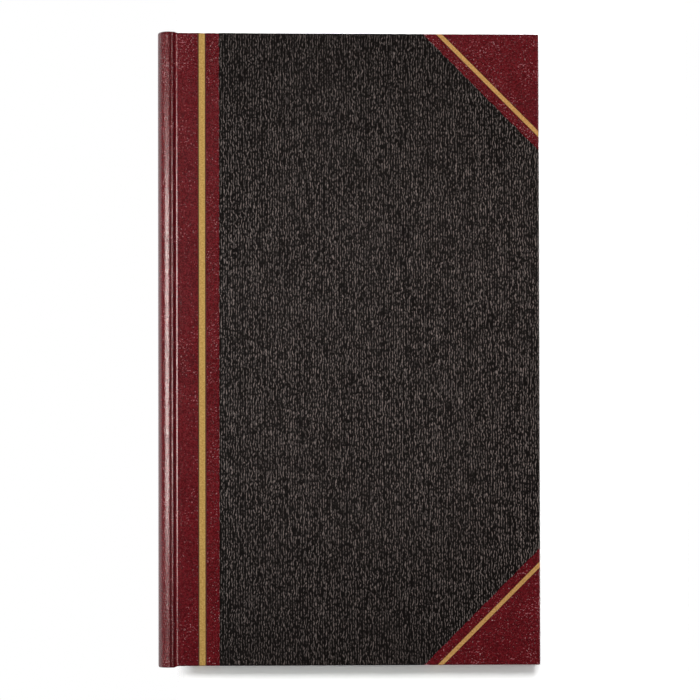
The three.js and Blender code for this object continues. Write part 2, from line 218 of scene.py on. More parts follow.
ledger_paper, ledger_shader, ruled = paper_finish("ledger_paper", (0.66, 0.71, 0.6, 1),
                                                  (0.74, 0.78, 0.67, 1), laid)
down_page = along(ledger_paper, laid(ledger_paper), 1)
between_lines = math_of(ledger_paper, "FRACT", math_of(ledger_paper, "DIVIDE", down_page, line_pitch))
line = math_of(ledger_paper, "LESS_THAN", between_lines, line_share)
below_margin = math_of(ledger_paper, "LESS_THAN", down_page, head_margin)
ruled = tint(ledger_paper, math_of(ledger_paper, "MULTIPLY", line, below_margin), ruled, line_blue)
across_page = along(ledger_paper, laid(ledger_paper), 0)
for column_place in column_places:
    from_column = away_from(ledger_paper, across_page, column_place)
    column = math_of(ledger_paper, "LESS_THAN", from_column, column_line)
    ruled = tint(ledger_paper, column, ruled, column_red)
colour_by(ledger_paper, ledger_shader, ruled)

page_edges, edges_shader = paper_finish("page_edges", (0.6, 0.63, 0.55, 1), (0.78, 0.8, 0.72, 1), laid)[:2]
fine_lines = noise(page_edges, laid(page_edges, (0.03, 0.03, 1)), scale=5200, detail=2)
colour_by(page_edges, edges_shader, tint(page_edges, fine_lines, (0.5, 0.53, 0.46, 1), (0.86, 0.88, 0.8, 1)))


def fold_line(z, radius=0.0):
    """How far in the outside of the folds lies at a height, less a radius that rolls inside it."""
    return spine_radius - math.sqrt((spine_radius - fold_depth - radius) ** 2 - z * z)


def fore_edge(z):
    """How far out the trimmed edges lie at a height: as far from the folds at every one."""
    return page_fore_edge - fold_line(half_block) + fold_line(z)


def grown_edges(grown):
    """The edges among what an extrusion made."""
    return [item for item in grown if isinstance(item, bmesh.types.BMEdge)]


def grown_verts(grown):
    """The vertices among what an extrusion made."""
    return [item for item in grown if isinstance(item, bmesh.types.BMVert)]


def extend(work, edges, ways):
    """Draws a line of edges out through a list of offsets."""
    for way in ways:
        grown = bmesh.ops.extrude_edge_only(work, edges=edges)["geom"]
        edges = grown_edges(grown)
        bmesh.ops.translate(work, verts=grown_verts(grown), vec=way)


def run_to(work, vert, x, z):
    """Draws a straight line from a vertex to a place in the cross-section."""
    grown = bmesh.ops.extrude_vert_indiv(work, verts=[vert])["verts"][0]
    grown.co.x, grown.co.z = x, z
    return grown


def roll(work, vert, centre, degrees, steps):
    """Rolls a line on round a centre in the cross-section."""
    rolled = bmesh.ops.spin(work, geom=[vert], cent=(centre[0], 0, centre[1]), axis=(0, 1, 0), dvec=(0, 0, 0),
                            angle=math.radians(degrees), steps=steps, use_duplicate=False)
    return grown_verts(rolled["geom_last"])[0]


trim = random.Random(7)
for number in range(1, signatures + 1):
    middle = half_block - 2 * fold_radius * (number - 0.5)
    nose = fold_line(middle, fold_radius)
    body = turning.get(number)
    stations = turning_page if body else still_page
    work = bmesh.new()
    for sheet in range(sheets):
        reach = fold_radius - leaf * (sheet + 0.5)
        trimmed_at = fore_edge(middle + reach) + trim.uniform(*trim_spread)
        vert = work.verts.new((trimmed_at, -half_page, middle + reach))
        for station in stations:
            vert = run_to(work, vert, station, middle + reach)
        vert = run_to(work, vert, nose, middle + reach)
        vert = roll(work, vert, (nose, middle), -180, fold_steps)
        for station in stations[::-1]:
            vert = run_to(work, vert, station, middle - reach)
        run_to(work, vert, fore_edge(middle - reach) + trim.uniform(*trim_spread), middle - reach)
    extend(work, list(work.edges), [(0, 2 * half_page / rows_down_page, 0)] * rows_down_page)
    for vert in work.verts:
        if abs(vert.co.y) > half_page - 1:
            cut_short = knife_wave + knife_wave * math.sin(vert.co.z * waves_per_millimetre)
            vert.co.y -= math.copysign(cut_short, vert.co.y)
    piece = lay(work, f"leaves_{number:02d}", flat_above=all_smooth)
    give_thickness(piece, leaf_caliper, 0, edge_finish=1)
    piece.data.materials.append(ledger_paper)
    piece.data.materials.append(page_edges)
    code = f"signature_{number:02d}"
    if body:
        bend_at_joint(piece)
        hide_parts(code + "_fold", code + "_leaves")
    else:
        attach(piece, "block")
        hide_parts(code)


# Sewing: five linen tapes and two kettle stitches across the folds, then mull and a kraft lining
# glued over them. They are the frame's own solids, and only their cloth, thread and paper are added.
tapes = 5


def woven_finish(name, low, high, threads, weft_share, depth):
    """Plain weave: threads over and under each other, at so many to the metre."""
    material, shader = new_finish(name, 0.9, Specular_IOR_Level=0.2, Sheen_Weight=0.15)
    place = step(material, "SeparateXYZ", {0: on_object(material, (threads, threads * weft_share, threads))})
    warp = math_of(material, "SINE", math_of(material, "ADD", place.outputs[0], place.outputs[2]))
    weft = math_of(material, "SINE", place.outputs[1])
    height = ramp(material, math_of(material, "MULTIPLY", warp, weft), -1, 1)
    # Painted shade: the weave is darker where its threads dip under each other.
    shade = math_of(material, "MULTIPLY", height, noise(material, on_object(material), scale=900, detail=3))
    colour_by(material, shader, tint(material, shade, low, high))
    relief(material, shader, height, depth)
    return material


def finish_node(name, material):
    """Gives one of the frame's own solids its finish."""
    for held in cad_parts[name].material_slots:
        held.material = material


linen = woven_finish("linen_tape", (0.5, 0.44, 0.33, 1), (0.78, 0.72, 0.58, 1),
                     threads=9000, weft_share=1.0, depth=0.1)
gauze = woven_finish("mull_gauze", (0.42, 0.38, 0.3, 1), (0.8, 0.76, 0.66, 1),
                     threads=4200, weft_share=1.0, depth=0.15)
thread = woven_finish("sewing_thread", (0.6, 0.56, 0.46, 1), (0.85, 0.82, 0.72, 1),
                      threads=15000, weft_share=0.4, depth=0.05)
kraft = paper_finish("kraft_paper", (0.3, 0.2, 0.11, 1), (0.46, 0.32, 0.19, 1), on_object)[0]

for number in range(1, tapes + 1):
    finish_node(f"sewing_tape_{number}", linen)
for name in ("head_kettle_stitch", "tail_kettle_stitch"):
    finish_node(name, thread)
for name in ("spine_mull", "front_mull_wing", "back_mull_wing"):
    finish_node(name, gauze)
finish_node("spine_lining", kraft)


# Head band and tail band: silk coiled over a cord core, two wine-red turns and two cream ones,
# glued across the ends of the back where the folds meet the leather's cap.
band_radius = 0.8
band_sides = 14
band_turns = 36
steps_in_turn = 4
band_gap = 0.1
silk_dip = 0.16
band_depth = fold_depth + band_radius
band_half_angle = math.degrees(math.asin((half_block - band_radius) / (spine_radius - band_depth)))


def silk_finish(name, low, high):
    """Fine silk strands laid side by side."""
    material, shader = new_finish(name, 0.45, Sheen_Weight=0.4, Specular_IOR_Level=0.4)
    strands = noise(material, laid(material, (1, 0.3, 1)), scale=9000, detail=2)
    colour_by(material, shader, tint(material, strands, low, high))
    relief(material, shader, strands, 0.04)
    return material


def share_of_band(arm):
    """How far along a band an arm from the back's centre points, from 0 to 1."""
    return (math.degrees(math.atan2(arm.z, -arm.x)) + band_half_angle) / (2 * band_half_angle)


wine_silk = silk_finish("wine_silk", (0.16, 0.01, 0.015, 1), (0.33, 0.03, 0.04, 1))
cream_silk = silk_finish("cream_silk", (0.55, 0.48, 0.32, 1), (0.82, 0.76, 0.6, 1))

for name, end in (("head_band", 1), ("tail_band", -1)):
    band_y = end * (half_page + band_radius + band_gap)
    centre = Vector((spine_radius, band_y, 0))
    work = bmesh.new()
    bmesh.ops.create_circle(work, cap_ends=False, segments=band_sides, radius=band_radius)
    for degrees, axis in ((90, "Y"), (-90, "Z"), (90, "X")):
        bmesh.ops.rotate(work, matrix=Matrix.Rotation(math.radians(degrees), 3, axis), cent=(0, 0, 0),
                         verts=work.verts)
    bmesh.ops.translate(work, verts=work.verts, vec=(band_depth, band_y, 0))
    bmesh.ops.rotate(work, cent=centre, verts=work.verts,
                     matrix=Matrix.Rotation(math.radians(-band_half_angle), 3, "Y"))
    bmesh.ops.spin(work, geom=list(work.edges), cent=centre, axis=(0, 1, 0), dvec=(0, 0, 0),
                   angle=math.radians(2 * band_half_angle), steps=band_turns * steps_in_turn,
                   use_duplicate=False)
    bmesh.ops.holes_fill(work, edges=[edge for edge in work.edges if edge.is_boundary], sides=0)
    for vert in work.verts:
        arm = vert.co - centre
        core = centre + Vector((arm.x, 0, arm.z)).normalized() * (spine_radius - band_depth)
        swell = 1 - silk_dip + silk_dip * abs(math.sin(math.pi * share_of_band(arm) * band_turns))
        vert.co = core + (vert.co - core) * swell
    bmesh.ops.recalc_face_normals(work, faces=work.faces)
    for face in work.faces:
        face.material_index = int(share_of_band(face.calc_center_median() - centre) * band_turns / 2) % 2
    piece = lay(work, name + "_silk", sharp=70)
    piece.data.materials.append(wine_silk)
    piece.data.materials.append(cream_silk)
    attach(piece, "block")
    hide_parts(name)


# Boards and spine inlay: grey binder's board, cut square, and the strip with two round lips that
# gives the spine its shape. The frame's solids stay, with the speckle of pressed waste paper.
grey_card, card_shader = new_finish("grey_card", 0.9, Specular_IOR_Level=0.2)
speckle = noise(grey_card, on_object(grey_card), scale=1800, detail=4, roughness=0.7)
colour_by(grey_card, card_shader, tint(grey_card, speckle, (0.22, 0.2, 0.18, 1), (0.46, 0.43, 0.38, 1)))
relief(grey_card, card_shader, speckle, 0.05)
for name in ("front_board", "back_board", "spine_inlay"):
    finish_node(name, grey_card)


# Spine leather: burgundy leather over the inlay, down both shoulders into the grooves, with its
# head and tail turned in over the inlay to make the caps. It shines, its grain is pebbled with its low
# places painted darker as shade and a few paler specks that are painted glints, and towards the ends
# of the spine it is crinkled. A painted highlight lies in spots along the fore-edge's outer edge.
shoulder_radius = 5.6
crest_centre, crest_radius = (5.92, 11.25), 0.3
crest_tilt = 9
nip_radius = 0.5
nip_angle = 12
groove_x, groove_floor = 7.05, 9.3
leather_thickness = 0.29
weld_distance = 1e-4
cap_reach = 1.1
cap_depth = 2.2
cap_end = 181.9
cap_taper, cap_taper_from = 0.6, 4.8
cap_shoulder_x, cap_shoulder_angle = 3.6, 35.8
cap_gather = 30.66 / 35.65
cap_foot = (4.5, 8.5)
full_round = 9
nip_steps, climb_steps, crest_steps, shoulder_steps, back_steps = 5, 4, 7, 22, 16
close_to_end = [0.99, 0.996, 0.999]
rows_to_middle = 45
shares_along = [-share for share in close_to_end[::-1]]
shares_along += [i / rows_to_middle - 1 for i in range(1, 2 * rows_to_middle)] + close_to_end + [1]

edge_highlight_out = (0.1084, 0.109)
edge_highlight_up = (0.0112, 0.0117)
glints_grow_across = (0.0, 0.1)
spine_side = (-0.1015, -0.1035)
crinkled_ends = (0.085, 0.16)
least_crinkle, most_crinkle, plain_grain = 0.5, 3.2, 0.6
dark_burgundy, burgundy = (0.066, 0.002, 0.0042, 1), (0.142, 0.0064, 0.0104, 1)
glint_pink = (0.32, 0.09, 0.105, 1)


def painted_edge_highlight(material):
    """A painted highlight, in spots along the fore-edge's outer edge, where its round would catch the light.
    """
    place = step(material, "SeparateXYZ", {0: laid(material)})
    at_fore_edge = ramp(material, place.outputs[0], *edge_highlight_out)
    at_outside = ramp(material, away_from(material, place.outputs[2], half_thickness / 1000), *edge_highlight_up)
    spots = ramp(material, noise(material, laid(material), scale=1100, detail=1), 0.42, 0.6)
    return math_of(material, "MULTIPLY", spots, math_of(material, "MULTIPLY", at_fore_edge, at_outside))


def leather_finish():
    """Dyed and glazed leather, crinkled where the caps were turned, with painted shade in its low grain,
    painted glints and a painted edge highlight.
    """
    material, shader = new_finish("burgundy_leather", 0.17, Specular_IOR_Level=0.5)
    hide = laid(material)
    across = along(material, hide, 0)
    grain = noise(material, hide, scale=1000, detail=1)
    pebbles = ramp(material, noise(material, hide, scale=1350, detail=0), 0.36, 0.64)
    # Random tone, with the pebbled grain's low places painted darker as shade.
    shade = math_of(material, "ADD", pebbles, noise(material, hide, scale=45, detail=4))
    tone_and_grain_shade = tint(material, ramp(material, shade, 0.4, 1.6), dark_burgundy, burgundy)

    # Painted glints: pale pink specks, more of them towards the fore-edge, joined by the painted edge
    # highlight.
    patches = math_of(material, "MULTIPLY", noise(material, hide, scale=90, detail=2), 0.4)
    more_glints_outwards = ramp(material, across, *glints_grow_across, 0, 0.025)
    glint_specks = math_of(material, "ADD", math_of(material, "ADD", grain, patches), more_glints_outwards)
    glint_specks = math_of(material, "MAXIMUM", ramp(material, glint_specks, 0.86, 0.97), painted_edge_highlight(material))
    colour_by(material, shader, tint(material, glint_specks, tone_and_grain_shade, glint_pink))

    from_middle = away_from(material, along(material, hide, 1))
    towards_ends = ramp(material, from_middle, *crinkled_ends, least_crinkle, most_crinkle)
    on_spine = ramp(material, across, *spine_side)
    crinkle = math_of(material, "ADD", math_of(material, "MULTIPLY", on_spine, towards_ends), plain_grain)
    pores = math_of(material, "ADD", ramp(material, grain, 0.62, 0.76), glint_specks)
    raised = math_of(material, "ADD", math_of(material, "MULTIPLY", pebbles, crinkle), pores)
    relief(material, shader, raised, 0.06)
    return material


burgundy_leather = leather_finish()


def leather_profile(work, start, legs):
    """Draws the leather's cross-section and numbers its stations from the start."""
    station = work.verts.layers.int.new("station")
    vert = work.verts.new((start[0], 0, start[1]))
    for leg in legs:
        if len(leg) == 2:
            vert = run_to(work, vert, *leg)
        else:
            vert = roll(work, vert, *leg)
    work.verts.ensure_lookup_table()
    for index, vert in enumerate(work.verts):
        vert[station] = index
    return list(work.edges)


def run_along(work, profile, end_of):
    """Draws a profile along the book, from its tail to its head, and returns the last edges."""
    for vert in work.verts:
        vert.co.y = -end_of(vert.co)
    rim = profile
    for share in shares_along:
        grown = bmesh.ops.extrude_edge_only(work, edges=rim)["geom"]
        rim = grown_edges(grown)
        for vert in grown_verts(grown):
            vert.co.y = end_of(vert.co) * share
    return rim


def turn_in(work, rim, end, lining, reach, depth_round, flap=(4, 9, 15)):
    """Turns leather in at one end: over the edge in a round, then flat along the inside."""
    station = work.verts.layers.int["station"]
    outside = {vert[station]: vert.co.copy() for edge in rim for vert in edge.verts}
    rounds = [math.radians(15 * i) for i in range(1, 7)]
    path = [("over", angle) for angle in rounds] + [("under", angle) for angle in rounds[::-1]]
    path += [("under", 0)] + [("flap", length) for length in flap]
    for kind, amount in path:
        grown = bmesh.ops.extrude_edge_only(work, edges=rim)["geom"]
        rim = grown_edges(grown)
        for vert in grown_verts(grown):
            origin = outside[vert[station]]
            inside = lining(origin)
            way = Vector((inside[0] - origin.x, 0, inside[1] - origin.z))
            wall = way.length
            bend = min(depth_round(origin), wall / 2)
            depth = {"over": bend * (1 - math.cos(amount)),
                     "under": wall - bend * (1 - math.cos(amount)), "flap": wall}[kind]
            out = -amount if kind == "flap" else reach(origin) * math.sin(amount)
            vert.co = origin + way.normalized() * depth + Vector((0, end * out, 0))


def ease(value, low, high):
    """0 below the low end, 1 above the high end and smooth between."""
    share = min(max((value - low) / (high - low), 0), 1)
    return share * share * (3 - 2 * share)


def cap_inside(outside):
    """The line inside the spine where its turned-in leather lies."""
    side = math.copysign(1, outside.z)
    angle = math.degrees(math.atan2(abs(outside.z), spine_radius - outside.x))
    if outside.x < cap_shoulder_x and angle < cap_shoulder_angle:
        inner = math.radians(angle * cap_gather)
        reach = spine_radius - cap_depth
        return spine_radius - reach * math.cos(inner), side * reach * math.sin(inner)
    share = min(max((outside.x - cap_shoulder_x) / (groove_x - cap_shoulder_x), 0), 1)
    return cap_foot[0] + (groove_x - cap_foot[0]) * share, side * cap_foot[1]


def cap_round(outside):
    """How far the cap's round stands out beyond the flat of the leather."""
    return cap_reach - cap_taper * ease(outside.x, cap_taper_from, groove_x)


def around(centre, radius, degrees):
    """A place on a circle in the cross-section, at an angle up from the fore-edge's side."""
    angle = math.radians(degrees)
    return centre[0] + radius * math.cos(angle), centre[1] + radius * math.sin(angle)


def straight(first, last, steps):
    """The places on the straight line after the first one, up to the last one."""
    return [(first[0] + (last[0] - first[0]) * i / steps, first[1] + (last[1] - first[1]) * i / steps)
            for i in range(1, steps + 1)]


def below(place):
    """The same place on the other side of mid-thickness."""
    return place[0], -place[1]


shoulder_centre = around(crest_centre, crest_radius - shoulder_radius, 90 + crest_tilt)
back_radius = ((shoulder_centre[0] ** 2 + shoulder_centre[1] ** 2 - shoulder_radius ** 2)
               / (2 * (shoulder_centre[0] - shoulder_radius)))
back_angle = math.degrees(math.atan2(shoulder_centre[1], back_radius - shoulder_centre[0]))
nip_centre = (groove_x, groove_floor + nip_radius)
crest_foot = around(crest_centre, crest_radius, nip_angle)
nip_top = around(nip_centre, nip_radius, 180 + nip_angle)
over_crest = 90 + crest_tilt - nip_angle
over_shoulder = 90 - crest_tilt - back_angle
over_nip = -(90 - nip_angle)
climb = [below(place) for place in straight(nip_top, crest_foot, climb_steps)]

work = bmesh.new()
legs = [(below(nip_centre), over_nip, nip_steps)] + climb
legs += [(below(crest_centre), over_crest, crest_steps)]
legs += [(below(shoulder_centre), over_shoulder, shoulder_steps)]
legs += [((back_radius, 0), 2 * back_angle, back_steps)]
legs += [(shoulder_centre, over_shoulder, shoulder_steps), (crest_centre, over_crest, crest_steps)]
legs += straight(crest_foot, nip_top, climb_steps) + [(nip_centre, over_nip, nip_steps)]
profile = leather_profile(work, (groove_x, -groove_floor), legs)
rim = run_along(work, profile, lambda outside: cap_end - cap_round(outside))
turn_in(work, rim, 1, cap_inside, cap_round, lambda outside: full_round)
turn_in(work, profile, -1, cap_inside, cap_round, lambda outside: full_round)
bmesh.ops.remove_doubles(work, verts=work.verts, dist=weld_distance)
face_outwards(work, (0, 0, 0), (-1, 0, 0))
spine_covering = lay(work, "spine_covering", sharp=60)
give_thickness(spine_covering, leather_thickness)
spine_covering.data.materials.append(burgundy_leather)
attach(spine_covering, "block")
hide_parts("spine_leather")


# Joint leathers: the same leather climbing from each groove onto its board, as far as the siding,
# turned in at head and tail. A channel is pressed in it for the gold rule.
covers = (("front", False), ("back", True))
leather_level = 12.0
board_inside = 9.15
leather_inside = 8.7
leather_reach = 34.4
groove_radius = 2
groove_centre = (groove_x, groove_floor + groove_radius)
board_shoulder = (10.75, 10.7)
board_shoulder_radius = 1.3
edge_round, groove_round = 0.65, 0.5
lip_level = 8.5
lining_from, lining_to = 7.3, 10.9
board_end_step = 0.95
step_from, step_to = 8.0, 11.0
flat_from, flat_full = 11.4, 11.5
groove_steps, slope_steps, board_steps = 10, 10, 8
rule_centre = 24.6
rule_half = 2.4
press = 0.06
channel_lip, channel_edge, channel_foot = rule_half + 0.3, rule_half + 0.04, rule_half + 0.02
before_rule, beyond_rule = (11.1, 11.6, 18), (30, leather_reach + 0.5, leather_reach + 0.6)
slope_run = board_shoulder[0] - groove_centre[0]
slope_rise = board_shoulder[1] - groove_centre[1]
slope_turn = math.asin((board_shoulder_radius + groove_radius) / math.hypot(slope_run, slope_rise))
slope_angle = math.degrees(math.atan2(slope_rise, slope_run) + slope_turn)
slope_foot = around(groove_centre, groove_radius, slope_angle - 90)
slope_top = around(board_shoulder, board_shoulder_radius, slope_angle + 90)


def pressed(outside):
    """How deep a place on the leather's flat is pressed in."""
    return max(leather_level - outside.z, 0) * ease(outside.x, flat_from, flat_full)


def joint_round(outside):
    """How far the leather's edge is rounded at head and tail."""
    return groove_round + (edge_round - groove_round) * ease(outside.x, step_from, step_to)


def joint_end(outside):
    """How far along the book the leather runs straight before it is turned over."""
    turned_edge = cap_end - board_end_step * ease(outside.x, step_from, step_to)
    return turned_edge - pressed(outside) - joint_round(outside)


def joint_inside(outside):
    """The line inside the joint where its turned-in leather lies."""
    over_lip = lip_level + (leather_inside - lip_level) * ease(outside.x, lining_from, lining_to)
    return outside.x, over_lip + pressed(outside)


for cover, turned in covers:
    work = bmesh.new()
    legs = [(groove_centre, -slope_angle, groove_steps)] + straight(slope_foot, slope_top, slope_steps)
    legs += [(board_shoulder, slope_angle, board_steps)]
    legs += [(x, leather_level) for x in before_rule]
    legs += [(rule_centre - x, leather_level) for x in (channel_lip, channel_edge)]
    legs += [(rule_centre + x, leather_level - press) for x in (-channel_foot, 0, channel_foot)]
    legs += [(rule_centre + x, leather_level) for x in (channel_edge, channel_lip)]
    legs += [(x, leather_level) for x in beyond_rule]
    profile = leather_profile(work, (groove_x, groove_floor), legs)
    rim = run_along(work, profile, joint_end)
    turn_in(work, rim, 1, joint_inside, joint_round, joint_round)
    turn_in(work, profile, -1, joint_inside, joint_round, joint_round)
    bmesh.ops.remove_doubles(work, verts=work.verts, dist=weld_distance)
    face_outwards(work, (before_rule[-1], 0, leather_level), (0, 0, 1))
    piece = lay(work, f"{cover}_joint_leather", turned, sharp=60)
    give_thickness(piece, leather_thickness)
    piece.data.materials.append(burgundy_leather)
    bend_at_joint(piece)
    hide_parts(f"{cover}_spine_flange")


# Corner leathers: a triangle of burgundy leather over each outer corner, drawn round both edges
# and turned in, with a pressed channel for its gold rule. The tips are round.
corner_leg = 67
corner_rule_leg = 57.7
corner_rule_width = 2.3
corner_lap = 0.8
half_channel = corner_rule_width / 2 + 0.3
half_open = 166
turn_in_line = 203.4
board_level = 11.55
wrap_start = 20
board_margin = 0.5
tip_radius = 0.8
board_round = 0.2
round_steps = 5
channel_slope = 0.02
touching, cut_distance = 0.01, 1e-5
looks_down, wide_face = -0.99, 100


def covered_board(lift):
    """What wraps the board beyond the spine leather, drawn a little outside it, with its turn-ins."""
    work = bmesh.new()
    bmesh.ops.create_cube(work, size=1)
    far = cover_width - board_margin + lift
    low, high = board_inside - lift, board_level + lift
    side = half_cover - board_margin + lift
    bmesh.ops.scale(work, vec=(far - wrap_start, 2 * side, high - low), verts=work.verts)
    bmesh.ops.translate(work, vec=((far + wrap_start) / 2, 0, (high + low) / 2), verts=work.verts)
    tips = [edge for edge in work.edges if all(vert.co.x > far - touching for vert in edge.verts)
            and abs(edge.verts[0].co.z - edge.verts[1].co.z) > 1]
    bmesh.ops.bevel(work, geom=tips, offset=tip_radius, offset_type="OFFSET", segments=round_steps,
                    profile=0.5, affect="EDGES", material=-1)
    rim = [edge for edge in work.edges
           if abs(edge.verts[0].co.z - edge.verts[1].co.z) < touching
           and not all(vert.co.x < wrap_start + touching for vert in edge.verts)]
    bmesh.ops.bevel(work, geom=rim, offset=board_round + lift, offset_type="OFFSET", segments=round_steps,
                    profile=0.5, affect="EDGES", material=-1)
    for place, way in (((turn_in_line, 0, 0), (1, 0, 0)), ((0, half_open, 0), (0, 1, 0)),
                       ((0, -half_open, 0), (0, 1, 0))):
        inner = [face for face in work.faces if face.normal.z < looks_down and face.calc_area() > wide_face]
        near_geometry = {item for face in inner for item in (face, *face.edges, *face.verts)}
        bmesh.ops.bisect_plane(work, geom=list(near_geometry), dist=cut_distance,
                               plane_co=place, plane_no=way)
    spare = [face for face in work.faces
             if face.calc_center_median().x < wrap_start + touching
             or (face.normal.z < looks_down and face.calc_center_median().x < turn_in_line
                 and abs(face.calc_center_median().y) < half_open)]
    bmesh.ops.delete(work, geom=spare, context="FACES")
    return work


def cut(work, place, way, throw_away=False):
    """Cuts along a plane, and throws away what lies beyond it where that is asked for."""
    everything = list(work.verts) + list(work.edges) + list(work.faces)
    bmesh.ops.bisect_plane(work, geom=everything, dist=cut_distance, plane_co=place, plane_no=way,
                           clear_outer=throw_away)


def corner_line(end, leg):
    """A place on the slanting line that cuts both edges of a corner at that leg."""
    return Vector((cover_width - leg, end * half_cover, 0))


def corner_name(turned, end):
    """Head or tail: turning a piece onto the back cover swaps them."""
    return "head" if (end > 0) != turned else "tail"


for cover, turned in covers:
    for end in (1, -1):
        work = covered_board(leather_level - board_level)
        outwards = Vector((1, end, 0)).normalized()
        cut(work, corner_line(end, corner_leg + corner_lap), -outwards, throw_away=True)
        for side in (1, -1):
            cut(work, corner_line(end, corner_rule_leg + side * half_channel * math.sqrt(2)), outwards)
        channel = []
        for face in work.faces:
            away = (face.calc_center_median() - corner_line(end, corner_rule_leg)).dot(outwards)
            if abs(away) < half_channel:
                channel.append(face)
        bmesh.ops.inset_region(work, faces=channel, thickness=channel_slope, depth=-press,
                               use_even_offset=True, use_boundary=False)
        end_name = corner_name(turned, end)
        piece = lay(work, f"{cover}_{end_name}_corner_leather", turned)
        give_thickness(piece, leather_thickness)
        piece.data.materials.append(burgundy_leather)
        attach(piece, f"{cover}_cover")
        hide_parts(f"{cover}_{end_name}_corner")


# Sidings: black leathercloth over the rest of each board, lapped a little over the leather and
# turned in at head, tail and fore-edge. Its wrinkles run along the book and are broken, with painted
# highlights on their tops that are brightest in the middle of the height and towards the fore-edge,
# and a painted highlight in spots along the fore-edge. Its cut edges wander slightly.
siding_level = 12.05
siding_thickness = 0.45
fray_cuts = 260
waves_in_edge = 9
wave_sizes, wave_lengths, phases = (0.02, 0.06), (2.2, 14), (0, 6.3)
wrinkle_pitch = 0.00142
wrinkle_wander = 0.0013
highlight_across, least_across, most_across = (-0.08, 0.1), 0.88, 1.15
highlight_along, at_middle, at_ends = (0.08, 0.17), 1.0, 0.66
cloth_black, wrinkle_highlight_grey = (0.0022, 0.0013, 0.001, 1), (0.195, 0.156, 0.141, 1)
cloth_edge_highlight = (0.32, 0.27, 0.25, 1)


def cloth_finish():
    """Coated cloth embossed with long wrinkles, their tops painted with highlights."""
    material, shader = new_finish("black_leathercloth", 0.28, Specular_IOR_Level=0.25)
    place = step(material, "SeparateXYZ", {0: laid(material)})
    wander = noise(material, laid(material, (1, 0.4, 1)), scale=620, detail=1)
    wander = ramp(material, wander, 0, 1, -wrinkle_wander, wrinkle_wander)
    crosswise = math_of(material, "ADD", wander, place.outputs[0])
    waves = math_of(material, "MULTIPLY", crosswise, 2 * math.pi / wrinkle_pitch)
    wrinkles = ramp(material, math_of(material, "SINE", waves), 0.4, 1.0)
    broken = ramp(material, noise(material, laid(material, (1, 0.32, 1)), scale=2000, detail=1), 0.43, 0.58)
    ridges = math_of(material, "MULTIPLY", wrinkles, broken)
    # Painted highlights: the wrinkle tops are lighter, most in the middle of the height and towards the
    # fore-edge.
    by_width = ramp(material, place.outputs[0], *highlight_across, least_across, most_across)
    by_height = ramp(material, away_from(material, place.outputs[1]), *highlight_along, at_middle, at_ends)
    painted_wrinkle_highlights = math_of(material, "MULTIPLY", ridges, math_of(material, "MULTIPLY", by_width, by_height))
    cloth = tint(material, painted_wrinkle_highlights, cloth_black, wrinkle_highlight_grey)
    # Painted highlight in spots along the fore-edge's outer edge.
    colour_by(material, shader, tint(material, painted_edge_highlight(material), cloth, cloth_edge_highlight))
    relief(material, shader, ridges, 0.05)
    return material


black_cloth = cloth_finish()


def wave(seed):
    """A cut edge's wander along its length: a few long waves and a little fraying."""
    draw = random.Random(seed)
    parts = [(draw.uniform(*wave_sizes), 2 * math.pi / draw.uniform(*wave_lengths), draw.uniform(*phases))
             for _ in range(waves_in_edge)]
    return lambda place: sum(size * math.sin(rate * place + phase) for size, rate, phase in parts)


def fray(work, place, way, seed):
    """Subdivides the outer face's cut edge along a plane and lets it wander."""
    way = Vector(way).normalized()
    place = Vector(place)
    raw_edge = [edge for edge in work.edges if edge.is_boundary
                and all(abs((vert.co - place).dot(way)) < touching and vert.co.z > siding_level - touching
                        for vert in edge.verts)]
    fine = bmesh.ops.subdivide_edges(work, edges=raw_edge, cuts=fray_cuts)["geom_inner"]
    shift = wave(seed)
    for vert in grown_verts(fine):
        vert.co += way * shift(vert.co.y)


for cover, turned in covers:
    work = covered_board(siding_level - board_level)
    cut(work, (leather_reach, 0, 0), (-1, 0, 0), throw_away=True)
    for end in (1, -1):
        cut(work, corner_line(end, corner_leg), (1, end, 0), throw_away=True)
    fray(work, (leather_reach, 0, 0), (1, 0, 0), 11 + turned)
    for end in (1, -1):
        fray(work, corner_line(end, corner_leg), (1, end, 0), 21 + end + 5 * turned)
    piece = lay(work, f"{cover}_siding_cloth", turned)
    give_thickness(piece, siding_thickness)
    piece.data.materials.append(black_cloth)
    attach(piece, f"{cover}_cover")
    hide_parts(f"{cover}_siding")


# Gold rules: matt gold foil blocked into the leather along the spine and, a little warmer, across
# the corners, with a painted shadow as a dark brown line along both sides, running over the board's edges.
spine_foil_half, corner_foil_half = 1.72, corner_rule_width / 2
corner_line_half = 1.42
foil_thickness = 0.02
foil_lift = 0.03

gold_foil, gold_shader = new_finish("gold_foil", 0.42, Metallic=0.35, Specular_IOR_Level=0.5)
rubbed = ramp(gold_foil, noise(gold_foil, laid(gold_foil), scale=1000, detail=2, roughness=0.6), 0.3, 0.7)
on_spine_leather = tint(gold_foil, rubbed, (0.36, 0.203, 0.033, 1), (0.58, 0.372, 0.108, 1))
on_corners = tint(gold_foil, rubbed, (0.43, 0.215, 0.042, 1), (0.69, 0.395, 0.14, 1))
towards_corners = ramp(gold_foil, along(gold_foil, laid(gold_foil), 0), -0.05, 0.03)
colour_by(gold_foil, gold_shader, tint(gold_foil, towards_corners, on_spine_leather, on_corners))
relief(gold_foil, gold_shader, rubbed, 0.06)

# Painted shadow: a dark brown line along both sides of each rule's pressed channel.
channel_edge_shadow, edge_shadow_shader = new_finish("channel_shadow_line", 0.6, Specular_IOR_Level=0.25)
shadow_noise = noise(channel_edge_shadow, laid(channel_edge_shadow), scale=1300, detail=3)
colour_by(channel_edge_shadow, edge_shadow_shader, tint(channel_edge_shadow, shadow_noise, (0.035, 0.004, 0.001, 1), (0.08, 0.012, 0.003, 1)))
relief(channel_edge_shadow, edge_shadow_shader, shadow_noise, 0.05)


